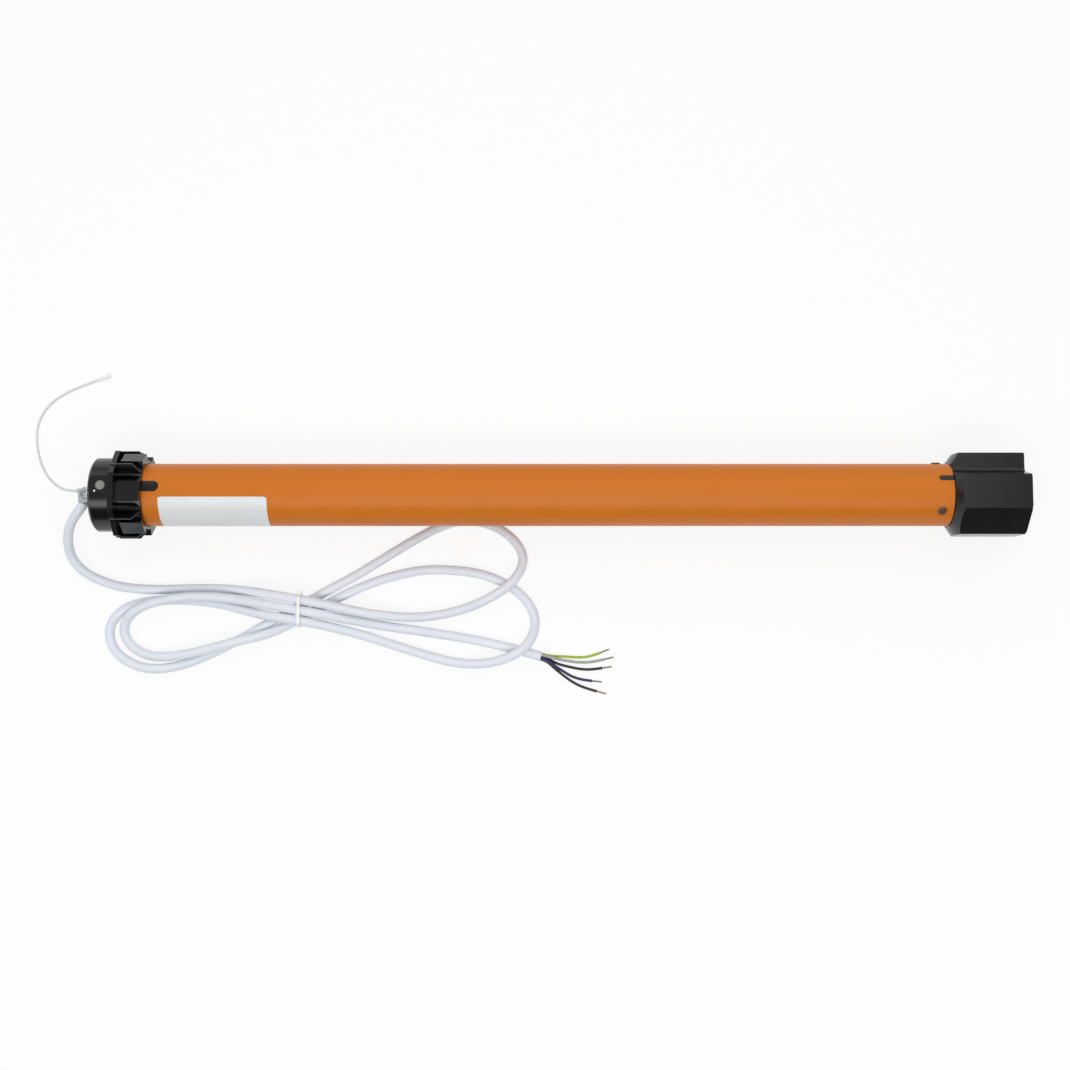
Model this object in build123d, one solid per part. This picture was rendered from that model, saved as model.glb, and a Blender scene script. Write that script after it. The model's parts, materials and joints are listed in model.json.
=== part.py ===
from build123d import *
import os
from math import cos, degrees, pi, radians, sin, sqrt, tan

# All lengths are in millimetres. The axis of the motor is X, from the head's outer face
# at zero to the drive wheel. Z is up, and the crown's lowest flat rests on the table.

# Motor tube, with its key slot under the crown and its notch under the drive wheel
tube_outer_r = 22.5
tube_wall = 1.2
tube_length = 576.0
head_slot_width = 7.8
head_slot_length = 12.2
head_slot_angle = 10.6
wheel_notch_width = 4.3
wheel_notch_length = 10.5
wheel_notch_angle = 27.0

# Fits: a shaft in its bush, a piece laid in its seat, and a gap between turning neighbours
running_fit = 0.05
seat_fit = 0.1
side_gap = 0.3
overrun = 1.0

# Fixed head
head_r = 26.6
head_depth = 15.5
head_edge = 1.8
head_flat_width = 13.0
head_flat_angle = 11.0
head_end_wall = 4.0
head_neck_length = 21.4
head_neck_fit = 0.55
head_cavity_r = 14.0
head_cavity_depth = 26.0
head_spigot_length = 23.0
head_spigot_wall = 1.6
head_groove_count = 4
head_groove_width = 0.5
head_groove_pitch = 1.3
head_groove_start = 9.6
head_groove_arc = 70.0
cable_port_r = 8.2
mount_screw_r = 2.5
mount_screw_depth = 10.0
mount_screw_spacing = 40.0

# Setting button, its switch and the small status lens beside it
button_r = 3.4
button_angle = 9.8
button_x = 9.2
button_proud = 0.5
button_edge = 0.4
button_travel = 0.8
button_cap_depth = 3.0
button_stem_r = 1.5
switch_side = 6.0
switch_height = 3.5
switch_plunger_r = 1.2
switch_plunger_length = 1.6
switch_plunger_inside = 1.0
switch_board_side = 11.0
switch_board_thickness = 1.6
switch_board_height = 7.6
lens_r = 0.8
lens_length = 5.0
lens_x = 5.4
lens_angle = 0.5

# Running crown
crown_flange_af = 61.0
crown_body_af = 58.5
crown_flange_width = 3.7
crown_length = 21.7
crown_chamfer_length = 6.5
crown_nose_wall = 1.65
crown_pocket_count = 6
crown_pocket_floor_r = 25.0
crown_pad_r = 29.2
crown_pad_width = 13.5
crown_pad_gap = 2.2
crown_pad_groove = 4.0
crown_rib_width = 1.2
crown_module = 1.0
crown_teeth = 48
crown_gear_width = 3.4
snap_bead_height = 0.5
snap_bead_width = 1.4
snap_bead_x = 28.0

# Encoder, driven from the crown's inner teeth
encoder_teeth = 14
encoder_gear_width = 2.8
encoder_shaft_r = 1.5
encoder_shaft_start = 9.0
encoder_shaft_end = 23.4
encoder_magnet_r = 2.2
encoder_magnet_depth = 2.0
encoder_chip_side = 3.0
encoder_chip_height = 0.8
encoder_board_thickness = 1.6

# Plug and socket of the supply cable, on the encoder board
terminal_width = 14.0
terminal_height = 10.0
terminal_depth = 4.2
plug_length = 13.0

# Control electronics in their tray
tray_gap = 2.3
tray_length = 150.0
tray_wall = 1.8
tray_end_wall = 2.0
tray_rim_drop = 4.0
board_thickness = 1.6
board_margin = 3.0
relay_size = (19.0, 15.5, 15.0)
relay_pitch = 17.0
relay_inset = 42.5
transformer_size = (26.0, 22.0, 15.0)
transformer_inset = 97.5
radio_size = (20.0, 1.2, 11.0)
radio_inset = 11.5

# Run capacitor
capacitor_r = 17.5
capacitor_gap = 5.5
capacitor_length = 58.0
capacitor_rim = 1.2

# Induction motor
motor_gap = 8.0
shield_thickness = 4.0
shield_hub_r = 9.0
shield_hub_length = 7.0
shield_skirt_length = 12.0
shield_skirt_wall = 1.6
bearing_outer_r = 6.5
bearing_length = 6.0
stator_length = 116.0
stator_bore_r = 12.0
slot_count = 12
slot_width = 3.4
slot_depth = 6.4
winding_overhang = 8.0
air_gap = 0.4
rotor_end_ring = 4.0
rotor_end_ring_r = 10.4
shaft_r = 3.0
shaft_tail = 4.0

# Brake on the motor shaft
shaft_flat = 2.3
collar_r = 6.0
collar_width = 2.0
brake_spring_length = 11.0
brake_spring_turns = 4
brake_spring_r = 4.6
brake_spring_wire_r = 0.5
brake_spring_sides = 6
brake_travel = 0.6
brake_disc_r = 17.0
brake_disc_width = 4.2
brake_plate_width = 3.0
brake_plate_bore_r = 8.0
brake_lining_width = 1.5
brake_lining_inner_r = 11.0

# Planetary gearbox of three like stages
gear_module = 1.1
sun_teeth = 9
planet_teeth = 12
planet_count = 3
stage_face_widths = (14.0, 18.0, 26.0)
carrier_thicknesses = (4.0, 5.5, 8.0)
carrier_clearance = 0.6
planet_pin_r = 2.0
gear_clearance = 0.5
inlet_cover_width = 4.0
inlet_cover_bore_r = 6.4

# Output: housing with two bushes, seal and stepped shaft
output_shaft_r = 8.0
output_bush_r = 11.0
output_shell_wall = 2.7
output_web_width = 12.0
output_nose_width = 15.0
output_seal_width = 2.2
drive_square = 13.0
drive_square_length = 40.0
clip_groove_depth = 1.0
clip_width = 1.4
clip_rim = 2.4
shaft_tip_length = 2.2

# Drive wheel
wheel_af = 58.5
wheel_length = 52.4
wheel_wall = 3.0
wheel_web = 5.0
wheel_chamfer_length = 5.5
wheel_nose_r = 24.0
wheel_hub_r = 13.5
wheel_rib_width = 2.2
wheel_rib_recess = 3.0
wheel_edge = 0.8
seam_step_height = 12.1
seam_step_inner = 15.8
seam_top_y = 12.1
seam_fillet_r = 3.5

# Rivets through the tube into the head and the gearbox
rivet_shank_r = 1.6
rivet_head_r = 3.2
rivet_head_height = 0.9
rivet_head_edge = 0.45
head_rivet_inset = 10.8
head_rivet_angles = (150.0, 210.0)
output_rivet_inset = 8.4
output_rivet_angles = (36.0, 156.0, 276.0)

# Cable, its clip and tie, its five cores, and the aerial
cable_r = 3.5
cable_side_count = 12
wire_side_count = 8
clip_block_depth = 13.0
clip_block_low_y = -6.0
clip_block_high_y = 5.7
clip_block_half_height = 5.0
clip_edge_r = 1.2
clip_shank_length = 3.4
tie_width = 2.6
tie_thickness = 0.7
tie_clearance = 0.65
tie_slant_room = 1.5
tie_head_size = (4.2, 3.4, 4.4)
core_r = 1.0
core_ring_r = 2.1
core_tip_r = 0.6
core_tip_length = 7.0
core_lead = 5.0
aerial_r = 0.9
ferrule_r = 1.6
ferrule_length = 9.4

# The cable's route, chosen by hand from the clip to the cut end
lead_route = [
    (-9.4, -6.0, 0.0), (-9.4, -14.5, 0.0), (-16.5, -22.4, -5.0), (-24.0, -31.0, -12.4),
    (-25.8, -42.0, -20.4), (-18.0, -53.2, -25.6), (-3.5, -61.2, -27.0), (15.0, -66.2, -27.0),
    (37.0, -67.4, -27.0), (62.0, -66.6, -27.0), (87.6, -66.6, -27.0), (108.1, -68.8, -22.6),
    (126.6, -71.8, -17.9), (144.65, -75.0, -17.9),
]
hank_route = [
    (144.65, -75.0, -17.9), (162.7, -78.2, -17.9), (179.5, -82.2, -18.6), (199.7, -86.0, -20.5),
    (224.3, -88.0, -24.5), (243.2, -86.6, -26.6), (262.4, -82.3, -24.5), (279.4, -75.8, -20.0),
    (295.5, -66.0, -19.1), (304.3, -56.0, -21.3), (307.9, -45.5, -25.0), (304.9, -35.8, -27.0),
    (296.1, -26.1, -27.0), (282.7, -18.7, -27.0), (264.2, -15.0, -27.0), (246.5, -20.2, -27.0),
    (227.4, -30.2, -27.0), (205.3, -43.9, -27.0), (181.1, -58.7, -27.0), (163.5, -67.9, -27.0),
    (144.8, -78.4, -25.6), (129.3, -87.0, -26.8), (110.2, -97.6, -27.0), (90.5, -108.4, -27.0),
    (70.1, -118.2, -27.0), (50.0, -124.6, -27.0), (32.1, -125.8, -27.0), (16.6, -120.4, -27.0),
    (6.0, -110.6, -27.0), (2.6, -98.8, -27.0), (6.4, -87.2, -27.0), (18.4, -78.6, -27.0),
    (37.4, -74.9, -27.0), (62.0, -74.8, -27.0), (85.6, -77.8, -27.0), (104.6, -83.0, -24.0),
    (123.8, -87.4, -18.4), (145.3, -90.3, -17.9), (160.1, -93.3, -22.0), (174.9, -96.9, -26.5),
    (193.3, -101.7, -27.0), (213.2, -108.3, -27.0), (235.3, -115.2, -27.0),
    (257.3, -121.1, -27.0), (275.8, -122.1, -23.5), (291.2, -119.2, -19.2),
    (305.1, -113.0, -19.1), (313.1, -104.3, -21.0), (316.7, -93.3, -26.0),
    (314.5, -82.2, -27.0), (307.2, -71.9, -27.0), (294.6, -62.7, -27.0), (277.7, -55.7, -27.0),
    (257.0, -52.8, -27.0), (235.6, -52.4, -27.0), (215.0, -56.1, -27.0), (194.4, -62.7, -27.0),
    (173.9, -71.9, -27.0), (159.3, -80.0, -26.8), (144.9, -87.4, -25.7), (131.9, -94.9, -26.2),
    (116.5, -101.2, -21.6), (99.3, -105.0, -19.0), (80.3, -110.3, -19.2), (60.9, -115.0, -21.2),
    (42.6, -116.8, -24.8), (29.0, -114.8, -27.0), (18.4, -108.0, -27.0), (13.6, -98.6, -27.0),
    (16.2, -89.2, -23.6), (25.6, -81.0, -19.4), (42.0, -75.0, -19.0), (64.3, -72.4, -19.3),
    (87.1, -72.9, -19.5), (106.2, -76.2, -18.8), (125.4, -79.4, -17.9), (142.85, -82.5, -17.9),
]
tail_route = [
    (142.85, -82.5, -17.9), (160.3, -85.6, -17.9), (173.5, -88.2, -23.4), (187.3, -90.7, -27.0),
    (209.4, -94.7, -27.0), (230.7, -97.6, -27.0), (262.4, -102.4, -27.0), (288.1, -107.5, -27.0),
    (306.5, -112.3, -27.0), (320.4, -116.3, -27.0),
]
aerial_route = [
    (-13.0, 2.6, 2.5), (-21.0, 2.6, 2.5), (-31.2, 7.2, -3.2), (-40.6, 15.4, -11.4),
    (-47.6, 25.4, -19.4), (-52.2, 35.2, -25.6), (-54.6, 45.4, -29.0), (-54.2, 55.6, -29.6),
    (-50.2, 65.2, -29.6), (-43.2, 73.2, -29.6), (-34.2, 79.2, -29.6), (-23.0, 84.4, -29.6),
    (-9.6, 89.2, -28.9),
]
core_names = ("green_yellow", "grey", "black", "blue", "brown")
core_ring_turn_shares = (0.95, 0.15, 0.75, 0.35, 0.55)
core_routes = {
    "green_yellow": [
        (333.0, -116.2, -28.6), (341.0, -116.6, -29.4), (349.4, -117.2, -29.5),
        (357.4, -116.2, -29.5), (364.0, -113.6, -29.5),
    ],
    "grey": [
        (333.4, -118.4, -26.8), (342.0, -120.0, -28.8), (350.6, -120.8, -29.5),
        (359.2, -120.2, -29.5), (367.0, -118.4, -29.5),
    ],
    "black": [
        (332.4, -121.8, -29.4), (340.6, -123.8, -29.5), (349.0, -125.6, -29.5),
        (357.2, -126.0, -29.5), (365.4, -124.8, -29.5),
    ],
    "blue": [
        (330.8, -123.4, -26.6), (336.8, -127.2, -28.6), (343.0, -131.0, -29.5),
        (350.4, -133.4, -29.5), (358.0, -134.2, -29.5),
    ],
    "brown": [
        (330.4, -125.0, -28.8), (336.8, -130.2, -29.4), (344.0, -135.4, -29.5),
        (352.4, -139.4, -29.5), (361.4, -141.8, -29.5),
    ],
}

# Values that several pieces share
tie_x = (lead_route[-1][0] + tail_route[0][0]) / 2
tube_start = head_depth + head_neck_length + side_gap
tube_end = tube_start + tube_length
tube_inner_r = tube_outer_r - tube_wall
core_fit_r = tube_inner_r - seat_fit
head_neck_r = tube_outer_r + head_neck_fit - running_fit
crown_start = head_depth + side_gap
crown_end = crown_start + crown_length
spigot_end = tube_start + head_spigot_length
head_rivet_x = tube_start + head_rivet_inset
output_rivet_x = tube_end - output_rivet_inset
tray_start = spigot_end + tray_gap
tray_end = tray_start + tray_length
capacitor_start = tray_end + capacitor_gap
capacitor_end = capacitor_start + capacitor_length
motor_start = capacitor_end + motor_gap
encoder_z = -crown_module * (crown_teeth - encoder_teeth) / 2

# Tooth proportions, as shares of the module
tip_height_share = 0.75
root_depth_share = 1.05
half_tooth_share = 0.70
tooth_flare_share = 0.36
ring_flare_share = 0.34


def side_plane(x, y=0, z=0):
    return Plane(origin=(x, y, z), x_dir=(0, 1, 0), z_dir=(1, 0, 0))


def disc(radius, start, end, y=0, z=0):
    return extrude(side_plane(start, y, z) * Circle(radius), end - start)


def ring(outer_r, inner_r, start, end, y=0, z=0):
    return disc(outer_r, start, end, y, z) - disc(inner_r, start - overrun, end + overrun, y, z)


def block(start, end, low, high):
    """A box between two places along X and two (y, z) corners."""
    box = Box(end - start, high[0] - low[0], high[1] - low[1], align=(Align.MIN,) * 3)
    return Pos(start, low[0], low[1]) * box


def octagon(across_flats, start, end):
    flat = RegularPolygon(across_flats / 2, 8, major_radius=False, rotation=degrees(pi / 8))
    return extrude(side_plane(start) * flat, end - start)


def turned(points):
    """A solid of revolution about X from its (x, radius) outline."""
    return revolve(make_face(Polyline(*points, close=True)), Axis.X)


def around(shape, angle):
    """Turn a piece from the top towards the front by an angle in degrees."""
    return Rot(angle, 0, 0) * shape


def radial_pin(radius, x, low, high, angle):
    return around(Pos(x, 0, low) * Cylinder(radius, high - low, align=(Align.CENTER,) * 2 + (Align.MIN,)), angle)


def fuse(pieces):
    pieces = list(pieces)
    return pieces[0].fuse(*pieces[1:]) if len(pieces) > 1 else pieces[0]


# Head


def head_top_bores():
    """Radius, place, floor and angle of the bores for the button's cap and stem and the lens."""
    cap_floor = head_flat_height() + button_proud - button_cap_depth - button_travel - seat_fit
    lens_floor = head_flat_height() + button_proud / 2 - lens_length
    return (
        (button_r, button_x, cap_floor, button_angle),
        (button_stem_r, button_x, 0, button_angle),
        (lens_r, lens_x, lens_floor, lens_angle),
    )


def head_flat_height():
    return sqrt(head_r**2 - (head_flat_width / 2) ** 2)


def head_grooves():
    """Fine turned grooves over the lower front of the head."""
    cuts = []
    for index in range(head_groove_count):
        x = head_groove_start + index * head_groove_pitch
        low, high = head_r - head_groove_width, head_r + overrun
        face = make_face(
            Polyline((x, low), (x + head_groove_width, low), (x + head_groove_width, high), (x, high), close=True)
        )
        arc = revolve(face, Axis.X, head_groove_arc)
        cuts.append(Rot(180, 0, 0) * arc)
    return cuts


def snap_bead(fit):
    """The bead that keeps the crown on the neck, or its groove in the crown when fit is given."""
    top = head_neck_r + snap_bead_height + fit
    low = head_neck_r - overrun
    start, end = snap_bead_x - fit, snap_bead_x + snap_bead_width + fit
    return turned([(start, low), (end, low), (end, top), (start, top)])


def head_housing():
    spigot_r = core_fit_r
    shell = turned([
        (0, 0), (0, head_r - head_edge), (head_edge, head_r), (head_depth, head_r),
        (head_depth, head_neck_r), (tube_start - side_gap, head_neck_r),
        (tube_start - side_gap, spigot_r), (spigot_end, spigot_r), (spigot_end, 0),
    ])
    shell += snap_bead(0)
    key_end = tube_start + head_slot_length - seat_fit
    key_half = head_slot_width / 2 - seat_fit
    key = SlotOverall(2 * key_end, 2 * key_half)
    key = extrude(key, tube_outer_r - seat_fit)
    key &= block(tube_start - head_spigot_length / 2, key_end, (-key_half, 0), (key_half, tube_outer_r))
    key &= ring(tube_outer_r - seat_fit, spigot_r - seat_fit, 0, spigot_end)
    shell += around(key, -head_slot_angle)
    shell -= disc(head_cavity_r, head_end_wall, head_cavity_depth + overrun)
    shell -= disc(spigot_r - head_spigot_wall, head_cavity_depth, spigot_end + overrun)
    flat_top = head_flat_height()
    flat = block(-overrun, head_depth - head_edge / 2, (-head_r, flat_top), (head_r, head_r + overrun))
    shell -= around(flat, -head_flat_angle)
    shell -= disc(cable_port_r, -overrun, head_end_wall + overrun)
    for radius, x, low, angle in head_top_bores():
        shell -= radial_pin(radius + running_fit, x, low, head_r + overrun, -angle)
    shell -= head_switch_pocket()
    shell -= encoder_pocket()
    for side in (-1, 1):
        y = side * mount_screw_spacing / 2
        shell -= disc(mount_screw_r, -overrun, mount_screw_depth, y)
    for groove in head_grooves():
        shell -= groove
    for angle in head_rivet_angles:
        shell -= radial_pin(rivet_shank_r, head_rivet_x, 0, tube_outer_r, angle)
    return shell


def head_switch_pocket():
    """Ledges in the cavity's wall on which the switch board lies."""
    half = switch_board_side + seat_fit
    low = switch_board_height - seat_fit
    pocket = block(
        button_x - switch_board_side / 2 - seat_fit,
        button_x + switch_board_side / 2 + seat_fit,
        (-half, switch_board_height),
        (half, switch_board_height + switch_board_thickness + seat_fit),
    )
    room = block(
        button_x - switch_side / 2 - side_gap,
        button_x + switch_side / 2 + side_gap,
        (-switch_side / 2 - side_gap, low),
        (switch_side / 2 + side_gap, switch_plunger_top() + side_gap),
    )
    return around(pocket + room, -button_angle)


def encoder_pocket():
    """Bores and pockets for the encoder's pinion, its shaft and its magnet."""
    gear_start = crown_start
    gear_end = gear_start + crown_gear_width
    tip = crown_module * (encoder_teeth / 2 + tip_height_share) + side_gap
    magnet_room = encoder_magnet_r + side_gap
    cuts = disc(encoder_shaft_r + running_fit, encoder_shaft_start - side_gap, head_cavity_depth, 0, encoder_z)
    cuts += disc(tip, gear_start, gear_end, 0, encoder_z)
    cuts += disc(magnet_room, encoder_shaft_end - overrun, head_cavity_depth + overrun, 0, encoder_z)
    return cuts


def switch_plunger_top():
    return switch_board_height + switch_board_thickness + switch_height + switch_plunger_length


def setting_button():
    top = head_flat_height() + button_proud
    shoulder = top - button_cap_depth
    stem_end = switch_plunger_top()
    stem = Cylinder(button_stem_r, shoulder - stem_end, align=(Align.CENTER,) * 2 + (Align.MIN,))
    cap = Cylinder(button_r, button_cap_depth, align=(Align.CENTER,) * 2 + (Align.MIN,))
    cap = chamfer(cap.edges().group_by(Axis.Z)[-1], button_edge)
    return around(Pos(button_x, 0, stem_end) * stem + Pos(button_x, 0, shoulder) * cap, -button_angle)


def setting_switch():
    """Push switch with a well for its plunger, deep enough for the whole travel."""
    base = switch_board_height + switch_board_thickness
    half = switch_side / 2
    body = block(button_x - half, button_x + half, (-half, base), (half, base + switch_height))
    well_floor = base + switch_height - switch_plunger_inside - button_travel - seat_fit
    well = radial_pin(switch_plunger_r + running_fit, button_x, well_floor, head_r, -button_angle)
    return around(body, -button_angle) - well


def switch_plunger():
    top = switch_plunger_top()
    low = top - switch_plunger_length - switch_plunger_inside
    return radial_pin(switch_plunger_r, button_x, low, top, -button_angle)


def switch_board():
    half_x = switch_board_side / 2
    half_y = switch_board_side
    low = switch_board_height
    board = block(button_x - half_x, button_x + half_x, (-half_y, low), (half_y, low + switch_board_thickness))
    return around(board, -button_angle)


def status_lens():
    lens_top = head_flat_height() + button_proud / 2
    return radial_pin(lens_r, lens_x, lens_top - lens_length, lens_top, -lens_angle)


# Crown


def gear_face(teeth, module, phase, inward=False):
    """Trapezoid teeth on a pitch circle: outline of a gear, or of the hole in a ring gear."""
    pitch_r = module * teeth / 2
    sign = -1 if inward else 1
    flare = ring_flare_share if inward else tooth_flare_share
    tip_r = pitch_r + sign * tip_height_share * module
    root_r = pitch_r - sign * root_depth_share * module
    tip_half = module * (half_tooth_share - flare * tip_height_share)
    root_half = module * (half_tooth_share + flare * root_depth_share / 2)
    points = []
    for index in range(teeth):
        middle = phase + 2 * pi * index / teeth
        for radius, half in ((root_r, -root_half), (tip_r, -tip_half), (tip_r, tip_half), (root_r, root_half)):
            angle = middle + half / radius
            points.append((radius * cos(angle), radius * sin(angle)))
    return make_face(Polyline(*points, close=True))


def gear(teeth, module, start, end, y=0, z=0, phase=0, inward=False):
    return extrude(side_plane(start, y, z) * gear_face(teeth, module, phase, inward), end - start)


def crown():
    """Ring with six pads in their pockets, thin ribs beside them and teeth for the encoder."""
    flange_end = crown_start + crown_flange_width
    cone_start = crown_end - crown_chamfer_length
    corner_r = crown_body_af / 2 / cos(pi / 8)
    nose_r = head_neck_r + crown_nose_wall
    envelope = octagon(crown_body_af, crown_start, crown_end)
    envelope &= turned([
        (crown_start, 0), (crown_start, corner_r), (cone_start, corner_r),
        (crown_end, nose_r), (crown_end, 0),
    ])
    rib_low = crown_pad_width / 2 + crown_pad_groove
    rib_high = rib_low + crown_rib_width
    base = head_neck_r + running_fit
    ribs = [block(crown_start, crown_end, (side[0], base), (side[1], crown_flange_af)) for side in
            ((-rib_high, -rib_low), (rib_low, rib_high))]
    pad_half = crown_pad_width / 2
    pad = block(flange_end + crown_pad_gap, crown_end, (-pad_half, base), (pad_half, crown_pad_r))
    raised = fuse(ribs) & envelope
    body = disc(crown_pocket_floor_r, crown_start, crown_end) & envelope
    for index in range(crown_pocket_count):
        angle = index * 360 / crown_pocket_count
        body += around(raised, angle)
        body += around(pad, angle)
    body += octagon(crown_flange_af, crown_start, flange_end)
    body -= disc(base, crown_start - overrun, crown_end + overrun)
    body -= snap_bead(side_gap)
    teeth_end = crown_start + crown_gear_width
    teeth = gear(crown_teeth, crown_module, crown_start - overrun, teeth_end, inward=True, phase=crown_phase())
    return body - teeth


def crown_phase():
    """Puts a crown tooth where the pinion has a gap, straight below the axis."""
    return -pi / 2


def encoder_pinion():
    gap_phase = -pi / 2 + pi / encoder_teeth
    middle = crown_start + crown_gear_width / 2
    start, end = middle - encoder_gear_width / 2, middle + encoder_gear_width / 2
    pinion = gear(encoder_teeth, crown_module, start, end, 0, encoder_z, gap_phase)
    return pinion + disc(encoder_shaft_r, encoder_shaft_start, encoder_shaft_end, 0, encoder_z)


def encoder_magnet():
    return disc(encoder_magnet_r, encoder_shaft_end, encoder_shaft_end + encoder_magnet_depth, 0, encoder_z)


def encoder_board():
    """Round board with the chip that reads the magnet and the socket for the supply plug."""
    radius = core_fit_r - head_spigot_wall - seat_fit
    start = head_cavity_depth
    half = encoder_chip_side / 2
    back = start + encoder_board_thickness
    board = disc(radius, start, back)
    chip = block(back, back + encoder_chip_height, (-half, encoder_z - half), (half, encoder_z + half))
    side, top = terminal_width / 2, terminal_height / 2
    return board + chip + block(start - terminal_depth, start, (-side, -top), (side, top))


def cable_plug():
    half = terminal_width / 2 - seat_fit
    end = head_cavity_depth - terminal_depth
    low, high = -terminal_height / 2 + seat_fit, terminal_height / 2 - seat_fit
    return block(end - plug_length, end, (-half, low), (half, high))


# Electronics and capacitor in the tube


def electronics_tray():
    outer, inner = core_fit_r, core_fit_r - tray_wall
    trough = ring(outer, inner, tray_start, tray_end)
    for start in (tray_start, tray_end - tray_end_wall):
        trough += disc(outer, start, start + tray_end_wall)
    return trough - block(tray_start - overrun, tray_end + overrun, (-outer, -tray_rim_drop), (outer, outer))


def control_board():
    start = tray_start + board_margin
    end = tray_end - board_margin
    half = core_fit_r - tray_wall / 2 - seat_fit
    return block(start, end, (-half, -tray_rim_drop), (half, -tray_rim_drop + board_thickness))


def on_board(inset, size, y=0):
    start = tray_start + inset
    base = board_thickness - tray_rim_drop
    return block(start, start + size[0], (y - size[1] / 2, base), (y + size[1] / 2, base + size[2]))


def relays():
    return Compound([on_board(relay_inset, relay_size, side * relay_pitch / 2) for side in (-1, 1)])


def supply_transformer():
    return on_board(transformer_inset, transformer_size)


def radio_module():
    return on_board(radio_inset, radio_size)


def run_capacitor():
    z = -(core_fit_r - capacitor_r)
    can = disc(capacitor_r, capacitor_start, capacitor_end, 0, z)
    lid = disc(capacitor_r - capacitor_rim, capacitor_end - capacitor_rim, capacitor_end + overrun, 0, z)
    return can - lid


# Motor

rear_skirt_end = motor_start + shield_thickness + shield_skirt_length
stator_end = rear_skirt_end + stator_length
front_shield_end = stator_end + shield_skirt_length + shield_thickness
bearing_starts = (motor_start + side_gap, front_shield_end - side_gap - bearing_length)
rotor_r = stator_bore_r - air_gap
collar_start = front_shield_end + side_gap
spring_start = collar_start + collar_width
brake_disc_start = spring_start + brake_spring_length + brake_travel + seat_fit
brake_plate_start = brake_disc_start + brake_disc_width + seat_fit


def end_shield(start, direction):
    """A cup whose skirt stands on the stator core, with a hub for its bearing."""
    disc_end = start + direction * shield_thickness
    hub_end = start + direction * shield_hub_length
    skirt_end = start + direction * (shield_thickness + shield_skirt_length)
    cup = turned([
        (start, bearing_outer_r), (start, core_fit_r), (skirt_end, core_fit_r),
        (skirt_end, core_fit_r - shield_skirt_wall), (disc_end, core_fit_r - shield_skirt_wall),
        (disc_end, shield_hub_r), (hub_end, shield_hub_r), (hub_end, bearing_outer_r),
    ])
    return cup


def end_shields():
    return Compound([end_shield(motor_start, 1), end_shield(front_shield_end, -1)])


def motor_bearings():
    bore = shaft_r + running_fit
    return Compound([ring(bearing_outer_r, bore, start, start + bearing_length) for start in bearing_starts])


def winding_slots(width, inner_r, outer_r, reach):
    bars = []
    for index in range(slot_count):
        bar = block(rear_skirt_end - reach, stator_end + reach, (-width / 2, inner_r), (width / 2, outer_r))
        bars.append(around(bar, index * 360 / slot_count))
    return bars


def stator_core():
    core = ring(core_fit_r, stator_bore_r, rear_skirt_end, stator_end)
    slots = winding_slots(slot_width, stator_bore_r - overrun, stator_bore_r + slot_depth, overrun)
    return core - fuse(slots)


def stator_windings():
    inner, outer = stator_bore_r + overrun, stator_bore_r + slot_depth - seat_fit
    bars = winding_slots(slot_width - 2 * seat_fit, inner + seat_fit, outer - seat_fit, winding_overhang / 2)
    heads = [
        ring(outer, inner, rear_skirt_end - winding_overhang, rear_skirt_end),
        ring(outer, inner, stator_end, stator_end + winding_overhang),
    ]
    return fuse(heads + bars)


def rotor_core():
    cage = rotor_end_ring
    start, end = rear_skirt_end - cage, stator_end + cage
    return turned([
        (start, shaft_r), (start, rotor_end_ring_r), (rear_skirt_end, rotor_end_ring_r),
        (rear_skirt_end, rotor_r), (stator_end, rotor_r), (stator_end, rotor_end_ring_r),
        (end, rotor_end_ring_r), (end, shaft_r),
    ])


def rotor_shaft():
    """Shaft with its brake collar, two flats for the brake disc and the first sun gear."""
    shaft = disc(shaft_r, motor_start - shaft_tail, stage_start(0))
    flat_zone = (spring_start, brake_plate_start)
    for side in (-1, 1):
        low, high = sorted((side * shaft_flat, side * 2 * shaft_r))
        shaft -= block(*flat_zone, (-shaft_r, low), (shaft_r, high))
    shaft += disc(collar_r, collar_start, collar_start + collar_width)
    return shaft + sun_gear(0)


def brake_spring():
    height = brake_spring_length - 2 * brake_spring_wire_r
    path = Helix(height / brake_spring_turns, height, brake_spring_r)
    wire = sweep(Plane(origin=path @ 0, z_dir=path % 0) * RegularPolygon(brake_spring_wire_r, brake_spring_sides), path=path)
    return Pos(spring_start + brake_spring_wire_r, 0, 0) * Rot(0, 90, 0) * wire


def brake_disc():
    end = brake_disc_start + brake_disc_width
    bore = disc(shaft_r + running_fit, brake_disc_start - overrun, end + overrun)
    flats = shaft_flat + running_fit
    bore &= block(brake_disc_start - overrun, end + overrun, (-brake_disc_r, -flats), (brake_disc_r, flats))
    return disc(brake_disc_r, brake_disc_start, end) - bore


def brake_plate():
    """Fixed plate with the friction lining that the disc is pressed against."""
    lining_end = brake_plate_start + brake_lining_width
    plate = ring(core_fit_r, brake_plate_bore_r, lining_end, brake_plate_start + brake_plate_width)
    lining = ring(brake_disc_r, brake_lining_inner_r, brake_plate_start, lining_end)
    return Compound([plate, lining])


# Gearbox

planet_orbit_r = gear_module * (sun_teeth + planet_teeth) / 2
ring_teeth = sun_teeth + 2 * planet_teeth
inlet_cover_start = brake_plate_start + brake_plate_width + side_gap
ring_start = inlet_cover_start + inlet_cover_width


def stage_start(stage):
    start = ring_start + gear_clearance
    for face, carrier in zip(stage_face_widths[:stage], carrier_thicknesses):
        start += face + carrier + 3 * gear_clearance
    return start


def carrier_start(stage):
    return stage_start(stage) + stage_face_widths[stage] + gear_clearance


ring_end = carrier_start(2) + carrier_thicknesses[2] + gear_clearance
carrier_r = gear_module * (ring_teeth / 2 - tip_height_share) - carrier_clearance


def sun_gear(stage):
    start = stage_start(stage)
    return gear(sun_teeth, gear_module, start, start + stage_face_widths[stage])


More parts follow.
